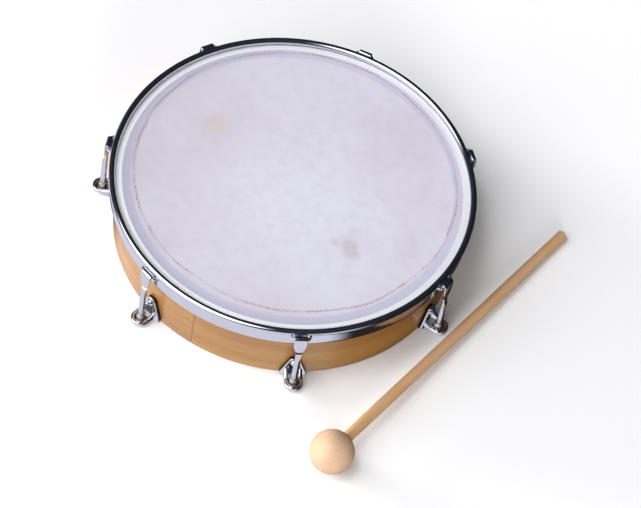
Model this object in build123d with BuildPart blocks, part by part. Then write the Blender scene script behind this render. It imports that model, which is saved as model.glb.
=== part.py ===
from build123d import *
import math
import os

# Tunable frame drum with seven tension hooks, and its ball-ended beater.
# The origin is the centre of the shell's bottom edge, +Z runs up the drum's axis,
# and the first lug faces -Y. All sizes are in millimetres.

# Shell, a bent-wood ring
shell_radius = 127.2
shell_wall = 6.0
shell_height = 55.0
bearing_round = 3.0
bottom_round = 0.6

# Drumhead, a skin tucked round its flesh hoop
skin = 0.45
skin_gap = 0.05
tuck_height = 3.2

# Flesh hoop, the hidden ring that holds the skin's edge
flesh_inner = 128.3
flesh_outer = 131.0
flesh_bottom = 47.9
flesh_top = 53.45
flesh_round = 0.55
flesh_landing = 1.5

# Counterhoop, a rolled bead on a flat skirt
bead_circle = 131.5
bead_height = 57.1
bead_radius = 2.5
hoop_sheet = 0.8
skirt_inner = 131.85
skirt_bottom = 44.6
bead_seam = 0.35

# Lugs, and the loops on the counterhoop that the hooks hang from
lug_count = 7
lug_start = -90.0
ear_bottom = 53.9
ear_height = 2.4
ear_strip = 1.5
ear_reach = 137.75
ear_root_width = 16.8
ear_tip_width = 13.4
ear_root = 132.3

# Tension hooks
strip = 1.3
fold_radius = 137.0
fold_height = 55.6
fold_bend = 1.65
claw_end = 53.6
tongue_width = 9.8
tongue_waist = 8.9
tongue_shoulder = 47.6
tongue_end = 42.0
tongue_tip_width = 5.0
rod_radius = 2.2
rod_circle = 138.4
rod_bottom = 1.0
rod_top = 47.0
rod_flat_bottom = 32.8
rod_flat_face = 139.0
notch_height = 2.7
notch_face = 138.2

# Lug brackets
plate_inner = 127.3
plate_outer = 128.9
rim_outer = 130.5
rim_width = 2.3
plate_bottom = 0.3
plate_top = 20.3
plate_bottom_width = 21.6
plate_top_width = 6.4
plate_top_round = 2.9
plate_bottom_round = 2.4
eye_bar = 3.0
eye_bar_round = 1.1
eye_height = 4.0
eye_half_width = 5.2
eye_centre = 139.1
eye_root = 128.1
wing_rise = 9.4
wing_reach = 136.5
wing_thick = 2.2
wing_skirt = 0.2

# Fasteners through the shell, one set for each lug
bolt_height = 15.8
bolt_shank = 1.95
bolt_hole = 2.05
bolt_head_radius = 3.0
bolt_head_neck = 1.0
bolt_pocket = 3.3
bolt_head_gap = 0.02
bolt_end = 114.6
washer_radius = 4.5
washer_thick = 1.0
hex_nut_across = 7.0
hex_nut_thick = 3.2
hex_nut_bore = 1.97
inner_seat = 121.05

# Tension nuts
nut_bottom = 0.3
nut_shoulder = 2.4
nut_top = 9.6
nut_edge = 0.4
nut_body = 3.2
nut_across = 9.2
nut_bore = 2.27

# Beater, lying beside the drum on its ball and on the far end of its stick
ball_radius = 16.0
ball_x = 23.3
ball_y = -204.0
stick_radius = 4.2
stick_length = 274.6
stick_heading = 47.8
stick_end_round = 0.5
stick_fit = 0.05

shell_inner = shell_radius - shell_wall
lug_angles = [lug_start + 360.0 / lug_count * k for k in range(lug_count)]


def save(part, name):
    """Labels one finished piece and writes it to its own STEP file."""
    part.label = name
    export_step(part, f"parts/{name}.step")


def save_each(part, name):
    """Writes one copy of a lug piece, modelled on +X, for every lug."""
    for number, angle in enumerate(lug_angles, start=1):
        save(Rotation(0, 0, angle) * part, f"{name}_{number}")


os.makedirs("parts", exist_ok=True)

# Shell: the outer top corner is rounded off as the bearing edge
with BuildPart() as shell:
    with BuildSketch(Plane.XZ):
        with Locations((shell_inner, 0)):
            Rectangle(shell_wall, shell_height, align=Align.MIN)
    revolve(axis=Axis.Z)
    top_edges = shell.edges().filter_by(GeomType.CIRCLE).group_by(Axis.Z)[-1]
    fillet(top_edges.sort_by(SortBy.LENGTH)[-1], bearing_round)
    fillet(shell.edges().filter_by(GeomType.CIRCLE).group_by(Axis.Z)[0], bottom_round)
    for angle in lug_angles:
        direction = Vector(1, 0, 0).rotate(Axis.Z, angle)
        bolt_plane = Plane(
            origin=direction * shell_radius + Vector(0, 0, bolt_height), z_dir=direction
        )
        with Locations(bolt_plane):
            Hole(bolt_hole, depth=shell_wall * 2)

# Drumhead: the underside line of the skin from the centre out over the bearing edge,
# down to the flesh hoop and round it, thickened outwards
edge_x = shell_radius - bearing_round
edge_z = shell_height - bearing_round
under_round = bearing_round + skin_gap
wrap_outer = flesh_outer + skin_gap
wrap_inner = flesh_inner - skin_gap
wrap_top = flesh_top + skin_gap
wrap_bottom = flesh_bottom - skin_gap
wrap_round = flesh_round + skin_gap
landing_x = wrap_outer - flesh_landing
leave_angle = math.degrees(
    math.atan2(wrap_top - edge_z, landing_x - edge_x)
    + math.acos(under_round / math.hypot(landing_x - edge_x, wrap_top - edge_z))
)

with BuildPart() as drumhead:
    with BuildSketch(Plane.XZ):
        with BuildLine():
            flat = Line((0, shell_height + skin_gap), (edge_x, shell_height + skin_gap))
            over = CenterArc((edge_x, edge_z), under_round, 90, leave_angle - 90)
            slope = Line(over @ 1, (landing_x, wrap_top))
            rest = Line(slope @ 1, (wrap_outer - wrap_round, wrap_top))
            corner = CenterArc(
                (wrap_outer - wrap_round, wrap_top - wrap_round), wrap_round, 90, -90
            )
            side = Line(corner @ 1, (wrap_outer, wrap_bottom + wrap_round))
            under = CenterArc(
                (wrap_outer - wrap_round, wrap_bottom + wrap_round), wrap_round, 0, -90
            )
            base = Line(under @ 1, (wrap_inner + wrap_round, wrap_bottom))
            back = CenterArc(
                (wrap_inner + wrap_round, wrap_bottom + wrap_round), wrap_round, 270, -90
            )
            Line(back @ 1, (wrap_inner, wrap_bottom + tuck_height))
            offset(amount=skin, side=Side.LEFT)
        make_face()
    revolve(axis=Axis.Z)

# Flesh hoop
with BuildPart() as flesh_hoop:
    with BuildSketch(Plane.XZ):
        with Locations((flesh_inner, flesh_bottom)):
            RectangleRounded(
                flesh_outer - flesh_inner,
                flesh_top - flesh_bottom,
                flesh_round,
                align=Align.MIN,
            )
    revolve(axis=Axis.Z)

# One pressed-out loop of the counterhoop, on +X
with BuildPart() as ear:
    with BuildSketch(Plane.XY.offset(ear_bottom)) as ear_plan:
        with BuildLine():
            Polyline(
                (ear_root, -ear_root_width / 2),
                (ear_reach, -ear_tip_width / 2),
                (ear_reach, ear_tip_width / 2),
                (ear_root, ear_root_width / 2),
                close=True,
            )
        make_face()
        fillet(ear_plan.vertices().group_by(Axis.X)[-1], 2 * ear_strip)
        with BuildLine(mode=Mode.PRIVATE) as opening_line:
            Polyline(
                (ear_root - ear_strip, -ear_root_width / 2 + ear_strip),
                (ear_reach - ear_strip, -ear_tip_width / 2 + ear_strip),
                (ear_reach - ear_strip, ear_tip_width / 2 - ear_strip),
                (ear_root - ear_strip, ear_root_width / 2 - ear_strip),
                close=True,
            )
        add(make_face(opening_line.line, mode=Mode.PRIVATE), mode=Mode.SUBTRACT)
    extrude(amount=ear_height)
    fillet(ear.edges().filter_by(Axis.Y).group_by(Axis.X)[-1], ear_strip / 3)

# Counterhoop: rolled bead with its seam, skirt, and the seven loops
with BuildPart() as counterhoop:
    with BuildSketch(Plane.XZ):
        with Locations((skirt_inner, skirt_bottom)):
            Rectangle(hoop_sheet, bead_height - skirt_bottom, align=Align.MIN)
        with Locations((bead_circle, bead_height)):
            Circle(bead_radius)
            Circle(bead_radius - hoop_sheet, mode=Mode.SUBTRACT)
        with Locations((bead_circle - bead_radius / 4, bead_height - bead_radius)):
            Rectangle(bead_seam, 3 * hoop_sheet, mode=Mode.SUBTRACT)
    revolve(axis=Axis.Z)
    with PolarLocations(0, lug_count, start_angle=lug_start):
        add(ear.part)

# Tension hook on +X: a folded claw and tongue, cut to outline, on a round rod
with BuildPart() as hook:
    with BuildSketch(Plane.XZ):
        with BuildLine():
            inner_leg = Line(
                (fold_radius - fold_bend, claw_end), (fold_radius - fold_bend, fold_height)
            )
            fold = CenterArc((fold_radius, fold_height), fold_bend, 180, -180)
            Line(fold @ 1, (fold_radius + fold_bend, tongue_end))
        trace(line_width=strip)
    extrude(amount=tongue_width / 2, both=True)
    with BuildSketch(Plane.YZ.offset(fold_radius - 2 * fold_bend)) as outline:
        with BuildLine():
            Polyline(
                (-tongue_tip_width / 2, tongue_end),
                (-tongue_waist / 2, tongue_shoulder),
                (-tongue_width / 2, fold_height),
                (-tongue_width / 2, fold_height + 2 * fold_bend),
                (tongue_width / 2, fold_height + 2 * fold_bend),
                (tongue_width / 2, fold_height),
                (tongue_waist / 2, tongue_shoulder),
                (tongue_tip_width / 2, tongue_end),
                close=True,
            )
        make_face()
        fillet(outline.vertices().group_by(Axis.Y)[0], tongue_tip_width / 3)
        fillet(outline.vertices().group_by(Axis.Y)[-3], tongue_waist / 3)
    extrude(amount=4 * fold_bend, mode=Mode.INTERSECT)
    with BuildSketch(Plane.XY.offset(rod_bottom)):
        with Locations((rod_circle, 0)):
            Circle(rod_radius)
    extrude(amount=rod_top - rod_bottom)
    with Locations((rod_flat_face, 0, rod_flat_bottom)):
        Box(
            rod_radius * 2,
            rod_radius * 3,
            tongue_end - rod_flat_bottom,
            align=(Align.MIN, Align.CENTER, Align.MIN),
            mode=Mode.SUBTRACT,
        )
    with Locations((fold_radius + fold_bend + strip / 2, 0, rod_flat_bottom)):
        Box(
            rod_radius * 2,
            tongue_width,
            fold_height - rod_flat_bottom,
            align=(Align.MIN, Align.CENTER, Align.MIN),
            mode=Mode.SUBTRACT,
        )
    with Locations((notch_face, 0, tongue_end)):
        Box(
            rod_radius * 2,
            rod_radius * 3,
            notch_height,
            align=(Align.MIN, Align.CENTER, Align.MAX),
            mode=Mode.SUBTRACT,
        )
    chamfer(hook.faces().sort_by(Axis.Z)[0].edges(), rod_radius / 4)

# Lug bracket on +X: a plate curved to the shell, a raised rim, and the eye
with BuildPart() as rim:
    with BuildSketch(Plane.YZ.offset(shell_inner)) as rim_outline:
        with BuildLine():
            Polyline(
                (-plate_bottom_width / 2, plate_bottom),
                (-plate_top_width / 2, plate_top),
                (plate_top_width / 2, plate_top),
                (plate_bottom_width / 2, plate_bottom),
                close=True,
            )
        make_face()
        fillet(rim_outline.vertices().group_by(Axis.Y)[-1], plate_top_round)
        fillet(rim_outline.vertices().group_by(Axis.Y)[0], plate_bottom_round)
    extrude(amount=shell_wall * 2)
    with BuildSketch(Plane.YZ.offset(plate_outer)):
        with BuildLine():
            Polyline(
                (-plate_bottom_width / 2 + 2 * rim_width, 0),
                (-plate_top_width / 2 + rim_width, plate_top - rim_width),
                (plate_top_width / 2 - rim_width, plate_top - rim_width),
                (plate_bottom_width / 2 - 2 * rim_width, 0),
                close=True,
            )
        make_face()
    extrude(amount=shell_wall, mode=Mode.SUBTRACT)
    with Locations(Plane(origin=(plate_outer, 0, bolt_height), z_dir=(1, 0, 0))):
        Cylinder(
            bolt_pocket,
            shell_wall,
            align=(Align.CENTER, Align.CENTER, Align.MIN),
            mode=Mode.SUBTRACT,
        )
    Cylinder(rim_outer, 3 * plate_top, mode=Mode.INTERSECT)
    Cylinder(plate_inner, 3 * plate_top, mode=Mode.SUBTRACT)

# Wings that stiffen the eye's arms where they meet the plate
with BuildPart() as wings:
    with BuildSketch(Plane.XZ):
        with BuildLine():
            Polyline(
                (eye_root, eye_height - eye_bar / 2 + wing_skirt),
                (eye_root, wing_rise),
                (wing_reach, eye_height + eye_bar / 2 - wing_skirt),
                (wing_reach, eye_height - eye_bar / 2 + wing_skirt),
                close=True,
            )
        make_face()
    extrude(amount=eye_half_width + wing_thick / 2, both=True)
    with Locations((eye_root, 0, 0)):
        Box(
            wing_reach,
            2 * eye_half_width - wing_thick,
            plate_top,
            align=(Align.MIN, Align.CENTER, Align.MIN),
            mode=Mode.SUBTRACT,
        )

with BuildPart() as bracket:
    add(rim.part)
    with BuildLine() as eye_path:
        arm = Line(
            (eye_root, -eye_half_width, eye_height), (eye_centre, -eye_half_width, eye_height)
        )
        bend = ThreePointArc(
            arm @ 1,
            (eye_centre + eye_half_width, 0, eye_height),
            (eye_centre, eye_half_width, eye_height),
        )
        Line(bend @ 1, (eye_root, eye_half_width, eye_height))
    with BuildSketch(Plane(origin=arm @ 0, z_dir=(1, 0, 0))):
        RectangleRounded(eye_bar, eye_bar, eye_bar_round)
    sweep(path=eye_path.line)
    add(wings.part)
    with Locations(Plane(origin=(rim_outer, 0, bolt_height), z_dir=(1, 0, 0))):
        Hole(bolt_hole, depth=shell_wall)

# Bolt on +X, from its domed head through the plate and the shell wall
with BuildPart() as bolt:
    with BuildSketch(Plane.XZ):
        with BuildLine():
            head_seat = plate_outer + bolt_head_gap
            dome_start = head_seat + bolt_head_neck
            Polyline(
                (dome_start, bolt_height + bolt_head_radius),
                (head_seat, bolt_height + bolt_head_radius),
                (head_seat, bolt_height + bolt_shank),
                (bolt_end, bolt_height + bolt_shank),
                (bolt_end, bolt_height),
                (dome_start + bolt_head_radius, bolt_height),
            )
            CenterArc((dome_start, bolt_height), bolt_head_radius, 0, 90)
        make_face()
    revolve(axis=Axis((0, 0, bolt_height), (1, 0, 0)))

with BuildPart() as washer:
    with BuildSketch(Plane.YZ.offset(inner_seat - washer_thick)):
        with Locations((0, bolt_height)):
            Circle(washer_radius)
            Circle(bolt_hole, mode=Mode.SUBTRACT)
    extrude(amount=washer_thick)

with BuildPart() as hex_nut:
    with BuildSketch(Plane.YZ.offset(inner_seat - washer_thick - hex_nut_thick)):
        with Locations((0, bolt_height)):
            RegularPolygon(hex_nut_across / 2, 6, major_radius=False)
            Circle(hex_nut_bore, mode=Mode.SUBTRACT)
    extrude(amount=hex_nut_thick)

with BuildPart() as lug_bolts:
    with PolarLocations(0, lug_count, start_angle=lug_start):
        add(bolt.part)

with BuildPart() as lug_washers:
    with PolarLocations(0, lug_count, start_angle=lug_start):
        add(washer.part)

with BuildPart() as lug_nuts:
    with PolarLocations(0, lug_count, start_angle=lug_start):
        add(hex_nut.part)

# Tension nut on +X: a hexagon foot under the eye and a round sleeve through it
with BuildPart() as tension_nut:
    with BuildSketch(Plane.XY.offset(nut_bottom)):
        with Locations((rod_circle, 0)):
            RegularPolygon(nut_across / 2, 6, major_radius=False)
    extrude(amount=nut_shoulder - nut_bottom)
    with BuildSketch(Plane.XY.offset(nut_shoulder)):
        with Locations((rod_circle, 0)):
            Circle(nut_body)
    extrude(amount=nut_top - nut_shoulder)
    chamfer(tension_nut.faces().sort_by(Axis.Z)[-1].edges(), nut_edge)
    with Locations((rod_circle, 0, nut_top)):
        Hole(nut_bore, depth=nut_top)

# Beater: the stick runs from the ball's centre down to its far end on the table
stick_drop = ball_radius - stick_radius
stick_tilt = math.degrees(math.asin(stick_drop / stick_length))
ball_centre = Vector(ball_x, ball_y, ball_radius)
stick_direction = Vector(1, 0, 0).rotate(Axis.Y, stick_tilt).rotate(Axis.Z, stick_heading)
stick_plane = Plane(origin=ball_centre, z_dir=stick_direction)

with BuildPart() as beater_stick:
    with BuildSketch(stick_plane):
        Circle(stick_radius)
    extrude(amount=stick_length)
    far_face = beater_stick.faces().filter_by(GeomType.PLANE).sort_by(Axis.X)[-1]
    fillet(far_face.edges(), stick_end_round)

with BuildPart() as beater_ball:
    with Locations(ball_centre):
        Sphere(ball_radius)
    with BuildSketch(stick_plane.offset(-stick_fit)):
        Circle(stick_radius + stick_fit)
    extrude(amount=2 * ball_radius, mode=Mode.SUBTRACT)

save(shell.part, "shell")
save(drumhead.part, "drumhead")
save(flesh_hoop.part, "flesh_hoop")
save(counterhoop.part, "counterhoop")
save_each(hook.part, "tension_hook")
save_each(bracket.part, "lug_bracket")
save_each(tension_nut.part, "tension_nut")
save(lug_bolts.part, "lug_bolts")
save(lug_washers.part, "lug_washers")
save(lug_nuts.part, "lug_nuts")
save(beater_stick.part, "beater_stick")
save(beater_ball.part, "beater_ball")
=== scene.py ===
import math

import bmesh
import bpy
import numpy as np
from mathutils import Matrix, Vector


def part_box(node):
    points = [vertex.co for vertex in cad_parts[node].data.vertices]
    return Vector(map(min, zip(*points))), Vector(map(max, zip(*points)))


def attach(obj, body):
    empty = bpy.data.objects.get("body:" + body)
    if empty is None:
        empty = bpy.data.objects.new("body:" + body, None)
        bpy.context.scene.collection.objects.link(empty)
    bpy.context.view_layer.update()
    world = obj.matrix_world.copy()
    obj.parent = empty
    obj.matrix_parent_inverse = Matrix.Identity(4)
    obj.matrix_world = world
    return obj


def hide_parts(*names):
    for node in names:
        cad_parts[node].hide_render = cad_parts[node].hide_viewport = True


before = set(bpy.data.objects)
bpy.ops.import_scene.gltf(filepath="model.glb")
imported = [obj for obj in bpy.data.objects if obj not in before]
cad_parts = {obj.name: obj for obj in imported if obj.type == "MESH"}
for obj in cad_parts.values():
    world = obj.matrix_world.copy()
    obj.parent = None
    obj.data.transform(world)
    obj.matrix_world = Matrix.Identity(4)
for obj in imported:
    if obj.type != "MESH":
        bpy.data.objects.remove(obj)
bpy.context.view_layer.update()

# A tunable frame drum and its beater. Geometry is worked out in millimetres in the row frame
# and written to the meshes in metres. Where a piece's size can be had from its box in the
# frame, it comes from there.
MM = 0.001
TAU = 2 * math.pi
LUGS = range(1, 8)
rng = np.random.default_rng(7)


# ---------------------------------------------------------------- frame measures

def box_mm(node):
    low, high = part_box(node)
    return np.array(low) / MM, np.array(high) / MM


def box_centre(node):
    low, high = box_mm(node)
    return (low + high) / 2


SHELL_RADIUS = box_mm("shell")[1][0]
SHELL_TOP = box_mm("shell")[1][2]
FLESH_LOW, FLESH_HIGH = box_mm("flesh_hoop")[0][2], box_mm("flesh_hoop")[1][2]
FLESH_RADIUS = box_mm("flesh_hoop")[1][0]
FLESH_INNER = -box_mm("flesh_hoop")[0][0] - 2.7
HOOP_LOW, HOOP_HIGH = box_mm("counterhoop")[0][2], box_mm("counterhoop")[1][2]
HOOK_LOW, HOOK_HIGH = box_mm("tension_hook_1")[0][2], box_mm("tension_hook_1")[1][2]
NUT_LOW, NUT_HIGH = box_mm("tension_nut_1")[0][2], box_mm("tension_nut_1")[1][2]
ROD_CIRCLE = -box_centre("tension_nut_1")[1]
BOLT_HEIGHT = box_centre("lug_bolts")[2]
LUG_ANGLES = [
    math.atan2(box_centre(f"tension_nut_{k}")[1], box_centre(f"tension_nut_{k}")[0]) for k in LUGS
]

# ---------------------------------------------------------------- details that a box can't give

# Shell
SHELL_WALL = 6.0
BEARING_ROUND = 3.0
SHELL_FOOT_ROUND = 1.0
SHELL_INNER_ROUND = 0.5
SEAM_ANGLE = math.radians(235.4)
SEAM_DEPTH = 0.28
SEAM_SPREAD = 0.28
SEAM_STATIONS = (-1.2, -0.6, -0.3, -0.15, 0.0, 0.15, 0.3, 0.6, 1.2)

# Skin and the ring it is tucked round
SKIN = 0.45
SKIN_GAP = 0.05
SKIN_TUCK_INNER = 127.8
SKIN_TUCK_HEIGHT = 3.6
SKIN_SAG = 0.08
SKIN_GATHER = 0.10
GATHER_START = 126.2
GATHER_WAVES = (23, 31, 44, 57)
FLESH_ROUND = 0.7

# Counterhoop and its pressed-out loops
HOOP_SHEET = 0.8
BEAD_RADIUS = 2.5
BEAD_CIRCLE = 131.9
BEAD_CURL = (-48, 262, 10)
SKIRT_MIDDLE = 132.6
EAR_DROP = 5.7
EAR_HEIGHT = 2.4
EAR_STRIP = 1.5
EAR_ROOT, EAR_ROOT_HALF = 131.9, 7.95
EAR_REACH, EAR_TIP_HALF = 137.0, 5.95
EAR_BEND = 2.3

# Tension hooks
ROD_RADIUS = 2.2
ROD_PITCH = 0.8
THREAD_DEPTH = 0.2
THREAD_TOP = 14.6
STRIP = 1.3
STRIP_ROUND = 0.38
FOLD_RADIUS = 137.0
FOLD_BEND = 1.65
FOLD_HEIGHT = HOOK_HIGH - FOLD_BEND - STRIP / 2
CLAW_LEG = 1.9
TONGUE_LENGTH = 13.6
TONGUE_END = FOLD_HEIGHT - TONGUE_LENGTH
TONGUE_WIDTH = 9.8
TONGUE_SHARES = (0, 0.36, 0.58, 0.76, 0.88, 0.95, 0.985, 1)
TONGUE_WIDTHS = (9.8, 9.7, 8.9, 7.4, 6.0, 4.8, 3.7, 2.2)
NOTCH_END = TONGUE_END - 2.7
NOTCH_FACE = -1.7
FLAT_END = TONGUE_END - 9.2
FLAT_SLOPE = 3.8
FLAT_FACE = 0.6
ROD_UNDER_TONGUE = 0.3

# Lug brackets
PLATE_INNER = 127.3
PLATE_OUTER = 128.9
RIM_OUTER = 130.5
RIM_WIDTH = 2.3
RIM_SHOULDER = 1.2
PLATE_BOTTOM, PLATE_TOP = 0.3, 20.3
PLATE_HALF_BOTTOM, PLATE_HALF_TOP = 10.8, 3.2
PLATE_BOTTOM_ROUND, PLATE_TOP_ROUND = 2.4, 2.9
BOLT_POCKET = 3.3
PLATE_MIDDLE = np.array([0.0, 9.0])
EYE_HALF = 5.2
EYE_CENTRE = 139.1
EYE_BAR = 3.0
EYE_LOW, EYE_HIGH = 2.5, 5.5
EYE_ROUND = 1.1
WING_RISE = 3.9
WING_REACH = 137.5

# Tension nuts
NUT_ACROSS = 9.2
NUT_BORE = 2.27
NUT_SLEEVE = 3.2
NUT_SHOULDER = NUT_LOW + 2.1

# Bolts, washers and hexagon nuts, as distances from the drum's axis
BOLT_END = 114.6
BOLT_SHANK = 1.9
BOLT_HEAD = 3.0
BOLT_NECK = 1.0
WASHER_INNER, WASHER_OUTER = 120.05, 121.05
WASHER_BORE, WASHER_RADIUS = 2.1, 4.5
HEX_END = 116.85
HEX_ACROSS = 7.0
HEX_BORE = 1.97

# Beater
STICK_RADIUS = 4.2
STICK_LENGTH = 274.6

# ---------------------------------------------------------------- colours, 8-bit sRGB

WOOD_LIGHT, WOOD_DARK = (172, 125, 58), (152, 103, 42)
WOOD_GRAIN, WOOD_FLECK = (122, 76, 32), (100, 60, 32)
WOOD_SEAM, WOOD_BOTTOM_BAND = (110, 70, 42), (120, 78, 46)
# Two skin colours are painted highlights: a soft glare near the middle and the near-white slope.
SKIN_WARM, SKIN_COOL, SKIN_GLARE = (206, 200, 212), (210, 208, 220), (221, 221, 232)
SKIN_MOTTLE, SKIN_COLLAR, SKIN_SLOPE_HIGHLIGHT = (192, 185, 200), (190, 188, 210), (252, 252, 254)
SKIN_LINE = (172, 128, 122)
# Where the looks change, in metres
SEAM_ARC = (0.3987, 0.3995)
FOOT_BAND_HEIGHT = 0.0022
# the painted glare on the skin: its spot and its reach
GLARE_X, GLARE_Y, GLARE_REACH = 0.004, 0.024, 0.105  # its middle is at -GLARE_Y
COLLAR_START = (0.1165, 0.1190)
# where the painted highlight on the skin's slope begins
SLOPE_HIGHLIGHT_START = (0.1240, 0.1252)
LINE_X, LINE_Y, LINE_RADIUS = 0.0018, 0.0043, 0.1178
HEART_Y, HEART_Z = 0.021, 0.008
# Growth rings of the beater's wood, in radians a metre
STICK_RINGS, BALL_RINGS = 5200.0, 2600.0
# Stains: x, y and size in metres, strength, colour
SKIN_MARKS = (
    (-0.0556, 0.0492, 0.017, 0.30, (206, 180, 164)),
    (0.0388, -0.0554, 0.015, 0.55, (180, 172, 176)),
    (-0.0126, 0.0577, 0.014, 0.22, (208, 188, 198)),
    (0.0823, -0.0546, 0.015, 0.25, (198, 182, 192)),
)
HOOP_TINT, HOOK_TINT = (208, 209, 224), (206, 207, 222)
BRACKET_TINT, BOLT_TINT = (214, 214, 228), (206, 206, 218)
# The second colour is painted shade for a bracket's sunken plate.
CHROME_SMEAR, CHROME_RECESS_SHADE = (186, 186, 198), (44, 42, 44)
NICKEL_LIGHT, NICKEL_DARK = (208, 203, 194), (172, 165, 154)
ZINC_DARK, ZINC_LIGHT = (172, 174, 178), (196, 197, 198)
RING_LIGHT, RING_DARK = (206, 170, 122), (170, 128, 84)
STICK_LIGHT, STICK_DARK = (212, 172, 131), (192, 147, 104)
BALL_LIGHT, BALL_DARK = (211, 176, 145), (196, 154, 119)
BEATER_PATCH, BEATER_FLECK = (204, 152, 102), (168, 124, 82)
FLOOR_LOW, FLOOR_HIGH = (246, 246, 247), (250, 250, 250)


# ---------------------------------------------------------------- mesh helpers

def rounded(points, radii, steps=6, closed=True):
    """The 2-D outline through points with each corner rounded to its radius."""
    points = [np.array(p, float) for p in points]
    radii = radii if hasattr(radii, "__len__") else [radii] * len(points)
    out = []
    for i, (point, radius) in enumerate(zip(points, radii)):
        if radius <= 0 or (not closed and i in (0, len(points) - 1)):
            out.append(point)
            continue
        before = points[i - 1] - point
        after = points[(i + 1) % len(points)] - point
        before /= np.linalg.norm(before)
        after /= np.linalg.norm(after)
        half = math.acos(np.clip(before @ after, -1, 1)) / 2
        bisector = (before + after) / np.linalg.norm(before + after)
        centre = point + bisector * radius / math.sin(half)
        start = point + before * radius / math.tan(half) - centre
        end = point + after * radius / math.tan(half) - centre
        sweep = math.atan2(start[0] * end[1] - start[1] * end[0], start @ end)
        for t in np.linspace(0, sweep, steps + 1):
            c, s = math.cos(t), math.sin(t)
            out.append(centre + np.array([c * start[0] - s * start[1], s * start[0] + c * start[1]]))
    return np.array(out)


def densify(points, step, closed=True):
    """Adds points so that no straight stretch is longer than step."""
    count = len(points)
    out = []
    for i in range(count if closed else count - 1):
        a, b = points[i], points[(i + 1) % count]
        parts = max(1, int(math.ceil(np.linalg.norm(b - a) / step)))
        out += [a + (b - a) * k / parts for k in range(parts)]
    if not closed:
        out.append(points[-1])
    return np.array(out)


def tangents(points):
    """Unit directions along an open 2-D path."""
    tangent = np.gradient(points, axis=0)
    return tangent / np.linalg.norm(tangent, axis=1)[:, None]


def sideways(points):
    """Level unit vectors to the right of a path in plan."""
    tangent = tangents(points)
    return np.column_stack([tangent[:, 1], -tangent[:, 0], np.zeros(len(points))])


def offset_path(points, distance):
    """An open 2-D path moved sideways, to its left for a positive distance."""
    tangent = tangents(points)
    return points + distance * np.stack([-tangent[:, 1], tangent[:, 0]], axis=1)


def grid(rows, wrap_rows=False, wrap_columns=True):
    """Vertices and quads of a grid given as rows of points."""
    rows = np.asarray(rows, float)
    n, m, _ = rows.shape
    faces = []
    for i in range(n if wrap_rows else n - 1):
        for j in range(m if wrap_columns else m - 1):
            a, b = i * m + j, i * m + (j + 1) % m
            c, d = (i + 1) % n * m + (j + 1) % m, (i + 1) % n * m + j
            faces.append((a, b, c, d))
    return rows.reshape(-1, 3), faces


def capped(rows):
    """Rows with a collapsed row at each end, which closes a tube."""
    rows = np.asarray(rows, float)
    first = np.repeat(rows[:1].mean(axis=1, keepdims=True), rows.shape[1], axis=1)
    last = np.repeat(rows[-1:].mean(axis=1, keepdims=True), rows.shape[1], axis=1)
    return np.concatenate([first, rows, last])


def lathe_rows(profile, angles):
    """Rows of points: one row for each angle, the profile turned about Z."""
    r, z = np.asarray(profile, float).T
    return np.array([np.column_stack([r * math.cos(a), r * math.sin(a), z]) for a in angles])


def even_angles(count):
    return np.arange(count) * TAU / count


def turned(points, angle):
    """Points turned about Z."""
    c, s = math.cos(angle), math.sin(angle)
    x, y, z = np.asarray(points, float).T
    return np.column_stack([c * x - s * y, s * x + c * y, z])


def strip_section(width, thick, corner, steps=4):
    """A closed rounded rectangle, width along the first axis."""
    w, t = width / 2, thick / 2
    corner = min(corner, w * 0.95, t * 0.95)
    return rounded([(-w, -t), (w, -t), (w, t), (-w, t)], corner, steps)


def swept(path, side, up, sections):
    """Rows of a section carried along a path; side and up are the section's axes at each point."""
    path, side, up = (np.asarray(v, float) for v in (path, side, up))
    sections = np.asarray(sections, float)
    return path[:, None] + sections[:, :, :1] * side[:, None] + sections[:, :, 1:] * up[:, None]


def build(name, chunks, material, sharp=40.0):
    """One mesh object from (vertices, faces) chunks in millimetres."""
    vertices, faces, start = [], [], 0
    for points, quads in chunks:
        vertices.append(np.asarray(points, float))
        faces += [tuple(start + i for i in quad) for quad in quads]
        start += len(points)
    mesh = bpy.data.meshes.new(name)
    mesh.from_pydata((np.concatenate(vertices) * MM).tolist(), [], faces)
    work = bmesh.new()
    work.from_mesh(mesh)
    bmesh.ops.remove_doubles(work, verts=work.verts, dist=1e-7)
    bmesh.ops.dissolve_degenerate(work, edges=work.edges, dist=1e-8)
    bmesh.ops.recalc_face_normals(work, faces=work.faces)
    work.to_mesh(mesh)
    work.free()
    mesh.shade_smooth()
    mesh.set_sharp_from_angle(angle=math.radians(sharp))
    mesh.materials.append(material)
    made = bpy.data.objects.new(name, mesh)
    bpy.context.scene.collection.objects.link(made)
    return made


def place(piece, body, nodes):
    """Says which body a piece rides on, and hides the nodes it stands for."""
    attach(piece, body)
    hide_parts(*nodes)


# ---------------------------------------------------------------- node helpers

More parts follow.
